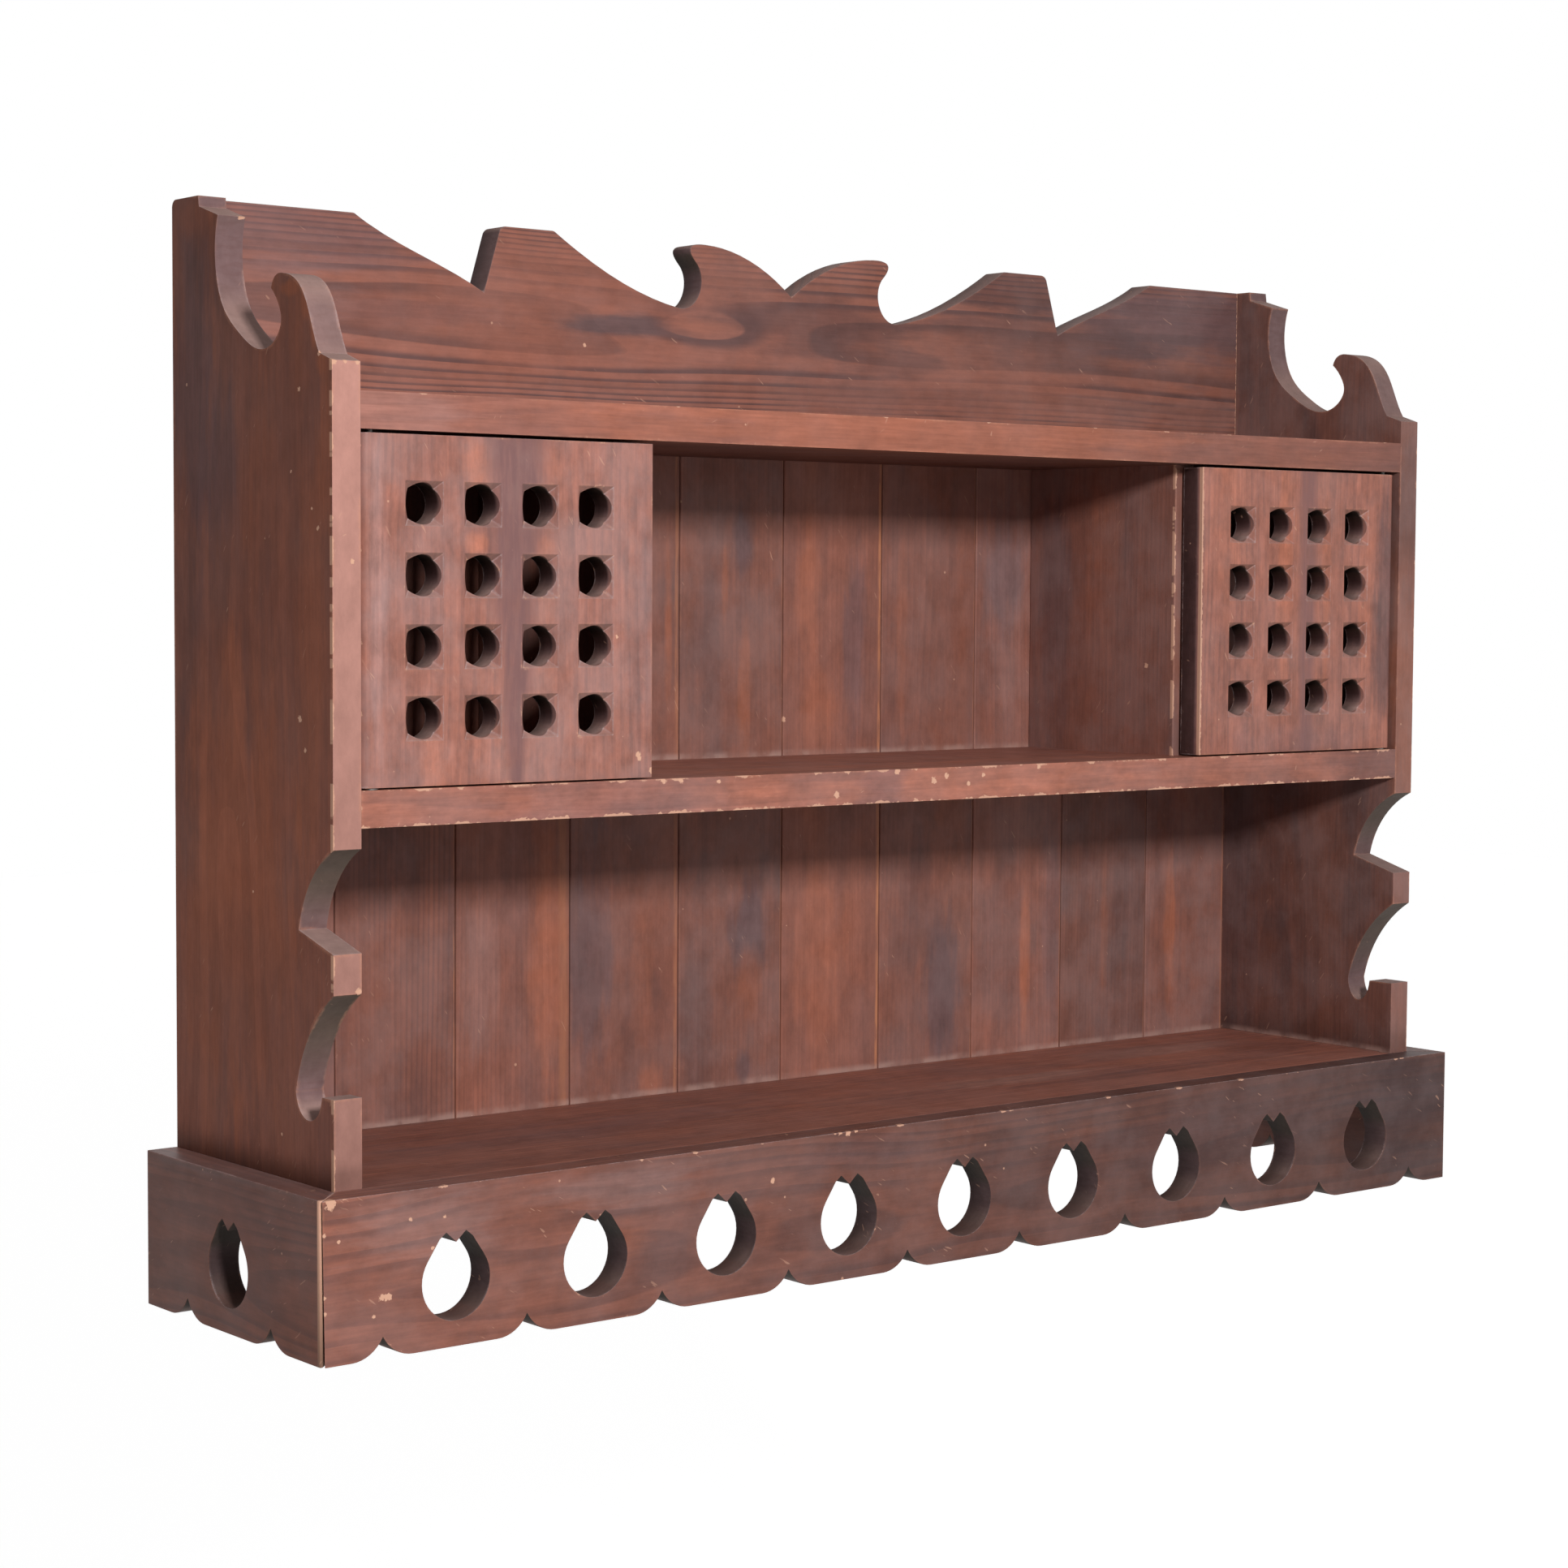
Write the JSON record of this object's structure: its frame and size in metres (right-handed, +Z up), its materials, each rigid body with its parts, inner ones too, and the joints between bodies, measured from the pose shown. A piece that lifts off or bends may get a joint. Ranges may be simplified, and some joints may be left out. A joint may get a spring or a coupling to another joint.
{
  "type": "hanging wall shelf",
  "caption": "Wall shelf with a waved crest, an open niche between two pierced doors on pivot pins, a lower bay and a fretted apron.",
  "frame": {"origin": "on the wall plane, midway between the centres of the two hanging holes", "axes": "+X along the wall to the right as seen from the room, +Y into the wall, +Z up"},
  "size_m": [1.044, 0.222, 0.721],
  "materials": {
    "side_wood": "stained and varnished pine, satin",
    "crest_wood": "stained and varnished pine, satin",
    "shelf_wood": "stained and varnished pine, satin",
    "board_wood": "stained and varnished pine, satin",
    "door_wood": "stained and varnished pine, satin",
    "apron_wood": "stained and varnished pine, satin",
    "steel": "plain steel, dull"
  },
  "bodies": {
    "case": {"side_left": "side_wood", "side_right": "side_wood", "crest_board": "crest_wood", "top_shelf": "shelf_wood", "middle_shelf": "shelf_wood", "bottom_shelf": "shelf_wood", "partition_left": "board_wood", "partition_right": "board_wood", "apron_front": "apron_wood", "apron_left": "apron_wood", "apron_right": "apron_wood", "back_board_01": "board_wood", "back_board_02": "board_wood", "back_board_03": "board_wood", "back_board_04": "board_wood", "back_board_05": "board_wood", "back_board_06": "board_wood", "back_board_07": "board_wood", "back_board_08": "board_wood", "back_board_09": "board_wood", "back_board_10": "board_wood", "door_pins_left": "steel", "door_pins_right": "steel", "door_washers": "steel", "back_board_nails": "steel", "hanging_plate_left": "steel", "hanging_plate_right": "steel", "hanging_plate_screws": "steel"},
    "left_door": {"door_left": "door_wood"},
    "right_door": {"door_right": "door_wood"}
  },
  "joints": [
    {"name": "left_door_pins", "type": "hinge", "parent": "case", "child": "left_door", "pos_m": [-0.4685, -0.191, -0.22], "axis": [0, 0, -1], "range_deg": [0, 110]},
    {"name": "right_door_pins", "type": "hinge", "parent": "case", "child": "right_door", "pos_m": [0.4685, -0.191, -0.22], "axis": [0, 0, 1], "range_deg": [0, 110]}
  ]
}
